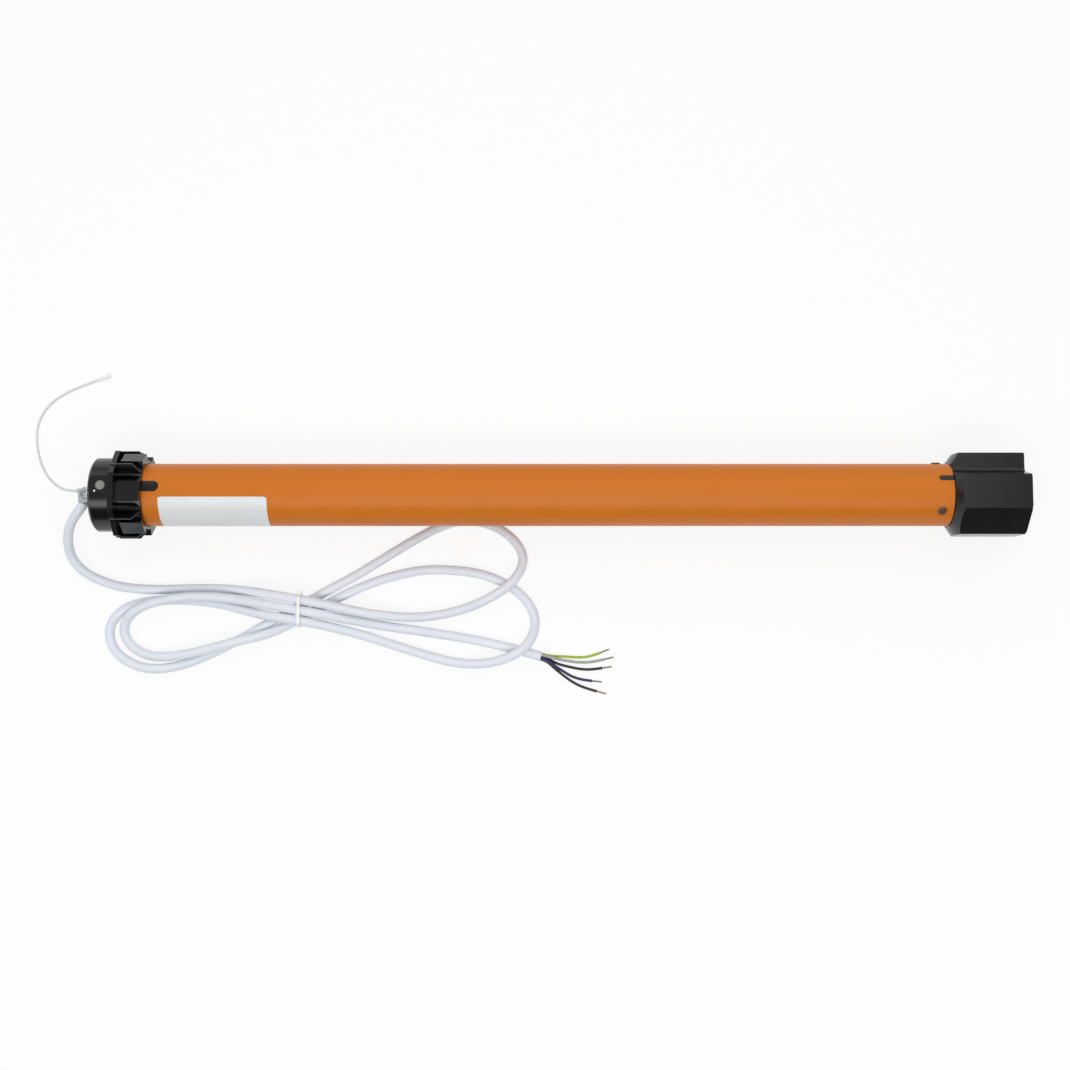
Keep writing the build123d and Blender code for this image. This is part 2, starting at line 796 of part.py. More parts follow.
def planet_angle(index):
    return 2 * pi * index / planet_count


def planet_gear(stage, index):
    """A planet in mesh: a gap faces the sun's tooth and another faces the ring's tooth."""
    angle = planet_angle(index)
    phase = angle * (1 + sun_teeth / planet_teeth) + pi + pi / planet_teeth
    y, z = planet_orbit_r * cos(angle), planet_orbit_r * sin(angle)
    start = stage_start(stage)
    end = start + stage_face_widths[stage]
    wheel = gear(planet_teeth, gear_module, start, end, y, z, phase)
    return wheel - disc(planet_pin_r + running_fit, start - overrun, end + overrun, y, z)


def carrier(stage):
    start = carrier_start(stage)
    end = start + carrier_thicknesses[stage]
    plate = disc(carrier_r, start, end)
    for index in range(planet_count):
        angle = planet_angle(index)
        y, z = planet_orbit_r * cos(angle), planet_orbit_r * sin(angle)
        plate += disc(planet_pin_r, stage_start(stage), start, y, z)
    if stage + 1 < len(stage_face_widths):
        next_start = stage_start(stage + 1)
        plate += disc(gear_module * (sun_teeth / 2 - root_depth_share), end, next_start)
        plate += sun_gear(stage + 1)
    return plate


def ring_gear():
    sleeve = disc(core_fit_r, ring_start, ring_end)
    return sleeve - gear(ring_teeth, gear_module, ring_start - overrun, ring_end + overrun, inward=True)


def inlet_cover():
    return ring(core_fit_r, inlet_cover_bore_r, inlet_cover_start, ring_start)


# Output end

wheel_start = tube_end + side_gap
wheel_end = wheel_start + wheel_length
web_start = ring_end + side_gap
nose_start = tube_end - output_nose_width
seal_start = tube_end - output_seal_width
shaft_square_start = wheel_start
shaft_square_end = shaft_square_start + drive_square_length


def output_housing():
    inner = core_fit_r - output_shell_wall
    web_end = web_start + output_web_width
    shell = turned([
        (web_start, output_bush_r), (web_start, core_fit_r), (tube_end, core_fit_r),
        (tube_end, output_bush_r), (nose_start, output_bush_r), (nose_start, inner),
        (web_end, inner), (web_end, output_bush_r),
    ])
    key_half = wheel_notch_width / 2 - seat_fit
    notch_start = tube_end - wheel_notch_length
    key = SlotOverall(2 * (wheel_notch_length - seat_fit), 2 * key_half)
    key = Pos(tube_end, 0, 0) * extrude(key, tube_outer_r - seat_fit)
    key &= block(notch_start, tube_end, (-key_half, nose_wall_middle()), (key_half, tube_outer_r))
    shell += around(key, -wheel_notch_angle)
    for angle in output_rivet_angles:
        shell -= radial_pin(rivet_shank_r, output_rivet_x, output_rivet_low(), tube_outer_r, angle)
    return shell


def nose_wall_middle():
    return (core_fit_r + output_bush_r) / 2


def output_rivet_low():
    return core_fit_r - 2 * output_shell_wall


def output_bushes():
    starts = (web_start, nose_start)
    widths = (output_web_width, output_nose_width - output_seal_width)
    bore = output_shaft_r + running_fit
    return Compound([ring(output_bush_r, bore, start, start + width) for start, width in zip(starts, widths)])


def output_seal():
    return ring(output_bush_r, output_shaft_r + running_fit, seal_start, tube_end)


def output_carrier():
    """The last carrier with the output shaft, its square end and its retaining groove."""
    shaft = carrier(2)
    shaft += disc(output_shaft_r, carrier_start(2), shaft_square_start)
    tip_end = shaft_square_end + clip_width + seat_fit + shaft_tip_length
    half = drive_square / 2
    square = block(shaft_square_start, tip_end, (-half, -half), (half, half))
    square &= disc(output_shaft_r, shaft_square_start, tip_end)
    groove = ring(2 * output_shaft_r, half - clip_groove_depth, shaft_square_end, shaft_square_end + clip_width + seat_fit)
    return shaft + (square - groove)


def wheel_clip():
    inner = drive_square / 2 - clip_groove_depth + seat_fit / 2
    outer = output_shaft_r + clip_rim
    start = shaft_square_end + seat_fit / 2
    washer = ring(outer, inner, start, start + clip_width)
    return washer - block(start - overrun, start + clip_width + overrun, (-inner, 0), (inner, 2 * outer))


def wheel_outline():
    """Octagon with the long seam step along its upper rear corner."""
    flat = RegularPolygon(wheel_af / 2, 8, major_radius=False, rotation=degrees(pi / 8))
    reach = wheel_af
    cut = make_face(Polyline(
        (seam_step_inner, seam_step_height), (reach, seam_step_height), (reach, reach),
        (seam_top_y, reach), (seam_top_y, wheel_af / 2), close=True,
    ))
    corner = cut.vertices().sort_by_distance((seam_step_inner, seam_step_height))[0]
    return flat - fillet(corner, seam_fillet_r)


def drive_wheel():
    outline = wheel_outline()
    corner_r = wheel_af / 2 / cos(pi / 8)
    body = extrude(side_plane(wheel_start) * outline, wheel_length)
    inside = offset(outline, -wheel_wall)
    web_end = wheel_start + wheel_chamfer_length + wheel_web
    body -= extrude(side_plane(web_end) * inside, wheel_length)
    hub = disc(wheel_hub_r, wheel_start + wheel_chamfer_length, shaft_square_end)
    ribs = []
    for index in range(4):
        rib = block(web_end, wheel_end - wheel_rib_recess, (-wheel_af, -wheel_rib_width / 2), (wheel_af, wheel_rib_width / 2))
        ribs.append(around(rib, index * 45))
    web = extrude(side_plane(web_end) * inside, wheel_length - wheel_rib_recess) & fuse(ribs)
    web -= disc(wheel_hub_r - overrun, shaft_square_end, wheel_end + overrun)
    body += hub
    body += web
    body &= turned([
        (wheel_start, 0), (wheel_start, wheel_nose_r), (wheel_start + wheel_chamfer_length, corner_r),
        (wheel_end - wheel_edge, corner_r), (wheel_end, corner_r - wheel_edge), (wheel_end, 0),
    ])
    half = drive_square / 2 + running_fit
    bore = block(wheel_start - overrun, shaft_square_end + overrun, (-half, -half), (half, half))
    bore &= disc(output_shaft_r + running_fit, wheel_start - overrun, shaft_square_end + overrun)
    return body - bore


# Tube and rivets


def motor_tube():
    tube = ring(tube_outer_r, tube_inner_r, tube_start, tube_end)
    slot = extrude(Pos(tube_start, 0, 0) * SlotOverall(2 * head_slot_length, head_slot_width), tube_outer_r + overrun)
    notch = extrude(Pos(tube_end, 0, 0) * SlotOverall(2 * wheel_notch_length, wheel_notch_width), tube_outer_r + overrun)
    tube -= around(slot, -head_slot_angle)
    tube -= around(notch, -wheel_notch_angle)
    for angle in head_rivet_angles:
        tube -= radial_pin(rivet_shank_r, head_rivet_x, 0, tube_outer_r + overrun, angle)
    for angle in output_rivet_angles:
        tube -= radial_pin(rivet_shank_r, output_rivet_x, 0, tube_outer_r + overrun, angle)
    return tube


def rivet(x, low, angle):
    shank = radial_pin(rivet_shank_r - seat_fit / 2, x, low, tube_outer_r, angle)
    head = Cylinder(rivet_head_r, rivet_head_height, align=(Align.CENTER,) * 2 + (Align.MIN,))
    head = chamfer(head.edges().group_by(Axis.Z)[-1], rivet_head_edge)
    head = around(Pos(x, 0, tube_outer_r) * head, angle)
    return shank + head


def tube_rivets():
    spigot_inner = core_fit_r - head_spigot_wall
    set_in = [rivet(head_rivet_x, spigot_inner, angle) for angle in head_rivet_angles]
    set_in += [rivet(output_rivet_x, output_rivet_low(), angle) for angle in output_rivet_angles]
    return Compound(set_in)


# Cable, cores and aerial

run_share = 0.45


def turn_between(a, b, c):
    return radians((b - a).get_angle(c - b))


def cord_path(points):
    """Straight runs joined by tangent arcs, each as large as its two runs allow."""
    spots = [Vector(*point) for point in points]
    radii = []
    for a, b, c in zip(spots, spots[1:], spots[2:]):
        shorter = min((b - a).length, (c - b).length)
        radii.append(run_share * shorter / tan(turn_between(a, b, c) / 2))
    return FilletPolyline(*spots, radius=radii), radii


def cord_tube(name, points, radius, sides=wire_side_count):
    path, radii = cord_path(points)
    section = RegularPolygon(radius, sides)
    tube = sweep(Plane(origin=path @ 0, z_dir=path % 0) * section, path=path)
    print(f"{name}: least radius {min(radii):.1f}, volume {tube.volume:.0f},", end=" ")
    print(f"section times length {section.area * path.length:.0f}, length {path.length:.0f}")
    return tube


def sampled(points, step):
    path, _ = cord_path(points)
    count = int(path.length / step)
    return [path @ (index / count) for index in range(count + 1)]


def least_self_gap(points, radius):
    """Least gap between strands that are more than a few diameters apart along the cable."""
    step = radius
    spots = sampled(points, step)
    skip = int(12 * radius / step)
    least = min(
        (spots[i] - spots[j]).length for i in range(len(spots)) for j in range(i + skip, len(spots))
    )
    return least - 2 * radius


def cable_clip():
    """Translucent elbow at the head's outer face: cable down its side, aerial out of its end."""
    low, high = clip_block_low_y, clip_block_high_y
    half = clip_block_half_height
    body = block(-clip_block_depth, -seat_fit, (low, -half), (high, half))
    body = fillet(body.edges().filter_by(Axis.X), clip_edge_r)
    return body + disc(cable_port_r - seat_fit, -seat_fit, clip_shank_length)


def tie_outline():
    """Corners of the bundle at the waist: the upper row of strands over the lower row."""
    waist = [lead_route[-1], tail_route[0]]
    waist += [point for point in hank_route if abs(point[0] - tie_x) < tie_width]
    middle = sum(z for _, _, z in waist) / len(waist)
    upper = sorted((y, z) for _, y, z in waist if z > middle)
    lower = sorted((y, z) for _, y, z in waist if z <= middle)
    low_front, low_rear = lower[0][0] - tie_slant_room, lower[-1][0] + tie_slant_room
    low_z = lower[0][1]
    corners = (upper[0], upper[-1], (low_rear, low_z), (low_front, low_z))
    return make_face(Polyline(*corners, close=True)), upper[-1]


def cable_tie():
    """Band pulled round the strands at the waist, with its lock on the side of the motor."""
    outline, lock_spot = tie_outline()
    inside = offset(outline, cable_r + tie_clearance)
    outside = offset(outline, cable_r + tie_clearance + tie_thickness)
    start, end = tie_x - tie_width / 2, tie_x + tie_width / 2
    band = extrude(side_plane(start) * outside, tie_width)
    length, width, height = tie_head_size
    low_y = lock_spot[0] + cable_r
    low_z = lock_spot[1] - height / 2
    band += block(tie_x - length / 2, tie_x + length / 2, (low_y, low_z), (low_y + width, low_z + height))
    return band - extrude(side_plane(start - overrun) * inside, tie_width + 2 * overrun)


def core_start(index):
    """A core's place on the cable's end face, and the direction in which the cable ends."""
    end, before = Vector(*tail_route[-1]), Vector(*tail_route[-2])
    along = (end - before).normalized()
    across = Vector(-along.Y, along.X, 0)
    angle = 2 * pi * core_ring_turn_shares[index]
    spot = end + across * (core_ring_r * cos(angle)) + Vector(0, 0, core_ring_r * sin(angle))
    return spot, along


def core_points(index):
    spot, along = core_start(index)
    return [tuple(spot), tuple(spot + along * core_lead)] + core_routes[core_names[index]]


def core_tip(index):
    points = core_points(index)
    end, before = Vector(*points[-1]), Vector(*points[-2])
    plane = Plane(origin=end, z_dir=end - before)
    return extrude(plane * Circle(core_tip_r), core_tip_length)


def aerial_ferrule():
    end, before = Vector(*aerial_route[-1]), Vector(*aerial_route[-2])
    return extrude(Plane(origin=end, z_dir=end - before) * Circle(ferrule_r), ferrule_length)


def cable_nodes():
    nodes = {
        "cable_lead": cord_tube("cable_lead", lead_route, cable_r, cable_side_count),
        "cable_hank": cord_tube("cable_hank", hank_route, cable_r, cable_side_count),
        "cable_tail": cord_tube("cable_tail", tail_route, cable_r, cable_side_count),
        "aerial_wire": cord_tube("aerial_wire", aerial_route, aerial_r),
    }
    for index, name in enumerate(core_names):
        nodes[f"core_{name}"] = cord_tube(f"core_{name}", core_points(index), core_r)
    nodes["core_tips"] = Compound([core_tip(index) for index in range(len(core_names))])
    print(f"hank's least gap to itself: {least_self_gap(hank_route, cable_r):.2f}")
    whole = lead_route[:-1] + hank_route[1:-1] + tail_route[1:]
    print(f"whole cable's least gap to itself: {least_self_gap(whole, cable_r):.2f}")
    return nodes


def planet_nodes():
    nodes = {}
    for stage in range(len(stage_face_widths)):
        for index in range(planet_count):
            nodes[f"stage_{stage + 1}_planet_{index + 1}"] = planet_gear(stage, index)
    return nodes


pieces = {
    "motor_tube": motor_tube(), "head_housing": head_housing(), "tube_rivets": tube_rivets(),
    "setting_button": setting_button(), "switch_plunger": switch_plunger(),
    "setting_switch": setting_switch(), "switch_board": switch_board(),
    "status_lens": status_lens(), "running_crown": crown(), "encoder_pinion": encoder_pinion(),
    "encoder_magnet": encoder_magnet(), "encoder_board": encoder_board(),
    "cable_plug": cable_plug(), "electronics_tray": electronics_tray(),
    "control_board": control_board(), "relays": relays(),
    "supply_transformer": supply_transformer(), "radio_module": radio_module(),
    "run_capacitor": run_capacitor(), "end_shields": end_shields(),
    "motor_bearings": motor_bearings(), "stator_core": stator_core(),
    "stator_windings": stator_windings(), "rotor_core": rotor_core(),
    "rotor_shaft": rotor_shaft(), "brake_spring": brake_spring(), "brake_disc": brake_disc(),
    "brake_plate": brake_plate(), "inlet_cover": inlet_cover(), "ring_gear": ring_gear(),
    "stage_1_carrier": carrier(0), "stage_2_carrier": carrier(1),
    "output_carrier": output_carrier(), "output_housing": output_housing(),
    "output_bushes": output_bushes(), "output_seal": output_seal(),
    "drive_wheel": drive_wheel(), "wheel_clip": wheel_clip(), "cable_clip": cable_clip(),
    "cable_tie": cable_tie(), "aerial_ferrule": aerial_ferrule(),
}
pieces.update(planet_nodes())
pieces.update(cable_nodes())

os.makedirs("parts", exist_ok=True)
for name, shape in pieces.items():
    shape.label = name
    export_step(shape, f"parts/{name}.step")
print(len(pieces), "nodes")
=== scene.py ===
import json
import math
import bmesh
import bpy
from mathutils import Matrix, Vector


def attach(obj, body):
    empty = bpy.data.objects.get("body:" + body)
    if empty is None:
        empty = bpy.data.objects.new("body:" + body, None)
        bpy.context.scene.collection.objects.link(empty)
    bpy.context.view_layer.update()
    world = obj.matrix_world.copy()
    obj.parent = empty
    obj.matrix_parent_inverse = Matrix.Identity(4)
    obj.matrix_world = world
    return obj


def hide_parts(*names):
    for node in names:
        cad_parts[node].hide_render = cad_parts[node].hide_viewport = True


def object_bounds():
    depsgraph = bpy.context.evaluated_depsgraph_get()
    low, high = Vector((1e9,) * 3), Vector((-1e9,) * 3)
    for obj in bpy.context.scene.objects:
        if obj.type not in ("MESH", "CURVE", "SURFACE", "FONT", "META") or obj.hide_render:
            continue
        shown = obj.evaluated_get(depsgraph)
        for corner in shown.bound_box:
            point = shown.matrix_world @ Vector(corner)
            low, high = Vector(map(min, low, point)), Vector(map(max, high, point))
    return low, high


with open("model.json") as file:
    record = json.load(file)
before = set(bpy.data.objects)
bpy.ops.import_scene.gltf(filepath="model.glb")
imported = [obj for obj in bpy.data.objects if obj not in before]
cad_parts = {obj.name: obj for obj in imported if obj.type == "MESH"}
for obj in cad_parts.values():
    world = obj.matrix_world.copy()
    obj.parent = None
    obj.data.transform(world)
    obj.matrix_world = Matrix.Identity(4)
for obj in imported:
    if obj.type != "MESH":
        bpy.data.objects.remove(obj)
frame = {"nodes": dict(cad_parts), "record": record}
nodes = frame["nodes"]
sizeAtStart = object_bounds()
print("stage: frame loaded", len(nodes))


def mm(points):
    return [(x / 1000, y / 1000, z / 1000) for x, y, z in points]


def linearOf(red, green, blue):
    def one(value):
        share = value / 255
        return share / 12.92 if share <= 0.04045 else ((share + 0.055) / 1.055) ** 2.4
    return (one(red), one(green), one(blue), 1.0)


# Camera, set from the tube's width and both ends in the photograph
cameraSettings = {"place": (0.316, -0.113, 1.0674), "tilt": 4.5, "lens": 50, "sensor": 36}
cameraData = bpy.data.cameras.new("photoCamera")
cameraData.lens = cameraSettings["lens"]
cameraData.sensor_width = cameraSettings["sensor"]
camera = bpy.data.objects.new("photoCamera", cameraData)
camera.location = cameraSettings["place"]
camera.rotation_euler = (math.radians(cameraSettings["tilt"]), 0, 0)
bpy.context.scene.collection.objects.link(camera)
bpy.context.scene.camera = camera
bpy.context.scene.view_settings.view_transform = "Standard"
print("stage: camera")


# Cords: one smooth open line each on the model's own routes, with the lead's first points moved
def smoothLength(points, steps=24):
    spots = [Vector(p) for p in points]
    total, last = 0.0, spots[0]
    for index in range(1, len(spots) - 1):
        start = spots[0] if index == 1 else (spots[index - 1] + spots[index]) / 2
        end = spots[-1] if index == len(spots) - 2 else (spots[index] + spots[index + 1]) / 2
        for step in range(1, steps + 1):
            t = step / steps
            spot = start * (1 - t) ** 2 + spots[index] * (2 * t * (1 - t)) + end * t * t
            total += (spot - last).length
            last = spot
    return total


def cordCurve(name, points, radius, sides=5):
    data = bpy.data.curves.new(name, "CURVE")
    data.dimensions = "3D"
    spline = data.splines.new("NURBS")
    spline.points.add(len(points) - 1)
    for point, spot in zip(spline.points, points):
        point.co = (*spot, 1.0)
    spline.order_u = 3
    spline.use_endpoint_u = True
    spline.resolution_u = 8
    spline.use_smooth = True
    data.bevel_depth = radius
    data.bevel_resolution = sides
    data.use_fill_caps = True
    curve = bpy.data.objects.new(name, data)
    bpy.context.scene.collection.objects.link(curve)
    return curve


cableSettings = {"radius": 0.0035}
cableRoute = mm([
    (-9.4, -6, 0), (-13.4, -11.6, -0.8), (-20.2, -19, -5), (-24.8, -30.2, -12.4),
    (-25, -42.4, -20.4), (-18, -53.2, -25.6), (-3.5, -61.2, -27), (15, -66.2, -27),
    (37, -67.4, -27), (62, -66.6, -27), (87.6, -66.6, -27), (108.1, -68.8, -22.6),
    (126.6, -71.8, -17.9), (162.7, -78.2, -17.9), (179.5, -82.2, -18.6), (199.7, -86, -20.5),
    (224.3, -88, -24.5), (243.2, -86.6, -26.6), (262.4, -82.3, -24.5), (279.4, -75.8, -20),
    (295.5, -66, -19.1), (304.3, -56, -21.3), (307.9, -45.5, -25), (304.9, -35.8, -27),
    (296.1, -26.1, -27), (282.7, -18.7, -27), (264.2, -15, -27), (246.5, -20.2, -27),
    (227.4, -30.2, -27), (205.3, -43.9, -27), (181.1, -58.7, -27), (163.5, -67.9, -27),
    (144.8, -78.4, -25.6), (129.3, -87, -26.8), (110.2, -97.6, -27), (90.5, -108.4, -27),
    (70.1, -118.2, -27), (50, -124.6, -27), (32.1, -125.8, -27), (16.6, -120.4, -27),
    (6, -110.6, -27), (2.6, -98.8, -27), (6.4, -87.2, -27), (18.4, -78.6, -27), (37.4, -74.9, -27),
    (62, -74.8, -27), (85.6, -77.8, -27), (104.6, -83, -24), (123.8, -87.4, -18.4),
    (145.3, -90.3, -17.9), (160.1, -93.3, -22), (174.9, -96.9, -26.5), (193.3, -101.7, -27),
    (213.2, -108.3, -27), (235.3, -115.2, -27), (257.3, -121.1, -27), (275.8, -122.1, -23.5),
    (291.2, -119.2, -19.2), (305.1, -113, -19.1), (313.1, -104.3, -21), (316.7, -93.3, -26),
    (314.5, -82.2, -27), (307.2, -71.9, -27), (294.6, -62.7, -27), (277.7, -55.7, -27),
    (257, -52.8, -27), (235.6, -52.4, -27), (215, -56.1, -27), (194.4, -62.7, -27),
    (173.9, -71.9, -27), (159.3, -80, -26.8), (144.9, -87.4, -25.7), (131.9, -94.9, -26.2),
    (116.5, -101.2, -21.6), (99.3, -105, -19), (80.3, -110.3, -19.2), (60.9, -115, -21.2),
    (42.6, -116.8, -24.8), (29, -114.8, -27), (18.4, -108, -27), (13.6, -98.6, -27),
    (16.2, -89.2, -23.6), (25.6, -81, -19.4), (42, -75, -19), (64.3, -72.4, -19.3),
    (87.1, -72.9, -19.5), (106.2, -76.2, -18.8), (125.4, -79.4, -17.9), (160.3, -85.6, -17.9),
    (173.5, -88.2, -23.4), (187.3, -90.7, -27), (209.4, -94.7, -27), (230.7, -97.6, -27),
    (262.4, -102.4, -27), (288.1, -107.5, -27), (306.5, -112.3, -27), (320.4, -116.3, -27),
])
coreSettings = {
    "radius": 0.001,
    "names": {
        "green_yellow": "earthCore", "grey": "greyCore", "black": "blackCore", "blue": "blueCore",
        "brown": "brownCore",
    },
}
coreRoutes = {
    "green_yellow": [
        (320.952, -114.381, -27.6489), (325.757, -115.763, -27.6489), (333, -116.2, -28.6),
        (341, -116.6, -29.4), (349.4, -117.2, -29.5), (357.4, -116.2, -29.5), (364, -113.6, -29.5),
    ],
    "grey": [
        (320.741, -115.114, -25.3011), (325.546, -116.496, -25.3011), (333.4, -118.4, -26.8),
        (342, -120, -28.8), (350.6, -120.8, -29.5), (359.2, -120.2, -29.5), (367, -118.4, -29.5),
    ],
    "black": [
        (320.4, -116.3, -29.1), (325.205, -117.683, -29.1), (332.4, -121.8, -29.4),
        (340.6, -123.8, -29.5), (349, -125.6, -29.5), (357.2, -126, -29.5), (365.4, -124.8, -29.5),
    ],
    "blue": [
        (320.059, -117.486, -25.3011), (324.864, -118.869, -25.3011), (330.8, -123.4, -26.6),
        (336.8, -127.2, -28.6), (343, -131, -29.5), (350.4, -133.4, -29.5), (358, -134.2, -29.5),
    ],
    "brown": [
        (319.848, -118.219, -27.6489), (324.653, -119.602, -27.6489), (330.4, -125, -28.8),
        (336.8, -130.2, -29.4), (344, -135.4, -29.5), (352.4, -139.4, -29.5),
        (361.4, -141.8, -29.5),
    ],
}
aerialSettings = {"radius": 0.0009}
aerialRoute = mm([
    (-13, 2.6, 2.5), (-21, 2.6, 2.5), (-31.2, 7.2, -3.2), (-40.6, 15.4, -11.4),
    (-47.6, 25.4, -19.4), (-52.2, 35.2, -25.6), (-54.6, 45.4, -29), (-54.2, 55.6, -29.6),
    (-50.2, 65.2, -29.6), (-43.2, 73.2, -29.6), (-34.2, 79.2, -29.6), (-23, 84.4, -29.6),
    (-9.6, 89.2, -29),
])

cableWhole = cordCurve("cableWhole", cableRoute, cableSettings["radius"], 8)
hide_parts("cable_lead", "cable_hank", "cable_tail")
aerialWire = cordCurve("aerialWire", aerialRoute, aerialSettings["radius"])
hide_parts("aerial_wire")
cores = {}
for name, route in coreRoutes.items():
    cores[name] = cordCurve(coreSettings["names"][name], mm(route), coreSettings["radius"])
    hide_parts("core_" + name)
print("stage: cords", len(cores) + 2)


# Shared surface effects, as groups that put out colours, values and normals
def newGroup(name, inputs, outputs):
    group = bpy.data.node_groups.new(name, "ShaderNodeTree")
    for label, kind, value in inputs:
        socket = group.interface.new_socket(label, in_out="INPUT", socket_type=kind)
        socket.default_value = value
    for label, kind in outputs:
        group.interface.new_socket(label, in_out="OUTPUT", socket_type=kind)
    return group, group.nodes.new("NodeGroupInput"), group.nodes.new("NodeGroupOutput")


def addMath(tree, operation, value=None):
    node = tree.nodes.new("ShaderNodeMath")
    node.operation = operation
    if value is not None:
        node.inputs[1].default_value = value
    return node


surfaceSettings = {"cloudDetail": 4, "grainDetail": 2, "edgeSamples": 6}


def surfaceGroup():
    inputs = [
        ("Colour", "NodeSocketColor", (0.5, 0.5, 0.5, 1)),
        ("Second colour", "NodeSocketColor", (0.4, 0.4, 0.4, 1)),
        ("Cloud scale", "NodeSocketFloat", 30.0),
        ("Grain scale", "NodeSocketFloat", 2500.0),
        ("Grain height", "NodeSocketFloat", 0.00002),
        ("Low roughness", "NodeSocketFloat", 0.3),
        ("High roughness", "NodeSocketFloat", 0.4),
        ("Edge radius", "NodeSocketFloat", 0.0003),
    ]
    outputs = [
        ("Colour", "NodeSocketColor"), ("Roughness", "NodeSocketFloat"), ("Normal", "NodeSocketVector"),
    ]
    group, source, target = newGroup("mouldedSurface", inputs, outputs)
    make, link = group.nodes.new, group.links.new
    place = make("ShaderNodeTexCoord")
    cloud = make("ShaderNodeTexNoise")
    cloud.inputs["Detail"].default_value = surfaceSettings["cloudDetail"]
    link(place.outputs["Object"], cloud.inputs["Vector"])
    link(source.outputs["Cloud scale"], cloud.inputs["Scale"])
    mix = make("ShaderNodeMix")
    mix.data_type = "RGBA"
    link(cloud.outputs["Fac"], mix.inputs["Factor"])
    link(source.outputs["Colour"], mix.inputs["A"])
    link(source.outputs["Second colour"], mix.inputs["B"])
    link(mix.outputs["Result"], target.inputs["Colour"])
    rough = make("ShaderNodeMapRange")
    link(cloud.outputs["Fac"], rough.inputs["Value"])
    link(source.outputs["Low roughness"], rough.inputs["To Min"])
    link(source.outputs["High roughness"], rough.inputs["To Max"])
    link(rough.outputs["Result"], target.inputs["Roughness"])
    grain = make("ShaderNodeTexNoise")
    grain.inputs["Detail"].default_value = surfaceSettings["grainDetail"]
    link(place.outputs["Object"], grain.inputs["Vector"])
    link(source.outputs["Grain scale"], grain.inputs["Scale"])
    edge = make("ShaderNodeBevel")
    edge.samples = surfaceSettings["edgeSamples"]
    link(source.outputs["Edge radius"], edge.inputs["Radius"])
    bump = make("ShaderNodeBump")
    link(grain.outputs["Fac"], bump.inputs["Height"])
    link(source.outputs["Grain height"], bump.inputs["Distance"])
    link(edge.outputs["Normal"], bump.inputs["Normal"])
    link(bump.outputs["Normal"], target.inputs["Normal"])
    return group


stripeSettings = {"repeats": 2, "from": 0.55}


def stripeGroup():
    inputs = [
        ("Ground", "NodeSocketColor", (0.1, 0.5, 0.1, 1)),
        ("Stripe", "NodeSocketColor", (0.9, 0.8, 0.1, 1)),
    ]
    group, source, target = newGroup("twoColourCore", inputs, [("Colour", "NodeSocketColor")])
    make, link = group.nodes.new, group.links.new
    place = make("ShaderNodeTexCoord")
    parts = make("ShaderNodeSeparateXYZ")
    link(place.outputs["UV"], parts.inputs["Vector"])
    wave = addMath(group, "MULTIPLY", stripeSettings["repeats"])
    link(parts.outputs["Y"], wave.inputs[0])
    share = addMath(group, "FRACT")
    link(wave.outputs["Value"], share.inputs[0])
    step = addMath(group, "GREATER_THAN", stripeSettings["from"])
    link(share.outputs["Value"], step.inputs[0])
    mix = make("ShaderNodeMix")
    mix.data_type = "RGBA"
    link(step.outputs["Value"], mix.inputs["Factor"])
    link(source.outputs["Ground"], mix.inputs["A"])
    link(source.outputs["Stripe"], mix.inputs["B"])
    link(mix.outputs["Result"], target.inputs["Colour"])
    return group


surface = surfaceGroup()
stripes = stripeGroup()


def newMaterial(name, colour, second, rough=(0.35, 0.45), metal=0.0, specular=0.5,
                grain=0.00002, grainScale=2500, cloud=30, edge=0.0003, passing=0.0, under=0.0, stripe=None):
    material = bpy.data.materials.new(name)
    material.use_nodes = True
    tree = material.node_tree
    shader = tree.nodes["Principled BSDF"]
    shader.inputs["Metallic"].default_value = metal
    shader.inputs["Specular IOR Level"].default_value = specular
    shader.inputs["Transmission Weight"].default_value = passing
    shader.inputs["Subsurface Weight"].default_value = under
    shader.inputs["Subsurface Scale"].default_value = 0.002
    group = tree.nodes.new("ShaderNodeGroup")
    group.node_tree = surface
    values = {
        "Colour": colour, "Second colour": second, "Cloud scale": cloud, "Grain scale": grainScale,
        "Grain height": grain, "Low roughness": rough[0], "High roughness": rough[1], "Edge radius": edge,
    }
    for label, value in values.items():
        group.inputs[label].default_value = value
    tree.links.new(group.outputs["Colour"], shader.inputs["Base Color"])
    tree.links.new(group.outputs["Roughness"], shader.inputs["Roughness"])
    tree.links.new(group.outputs["Normal"], shader.inputs["Normal"])
    if stripe:
        extra = tree.nodes.new("ShaderNodeGroup")
        extra.node_tree = stripes
        extra.inputs["Ground"].default_value = colour
        extra.inputs["Stripe"].default_value = stripe
        tree.links.new(extra.outputs["Colour"], shader.inputs["Base Color"])
    return material


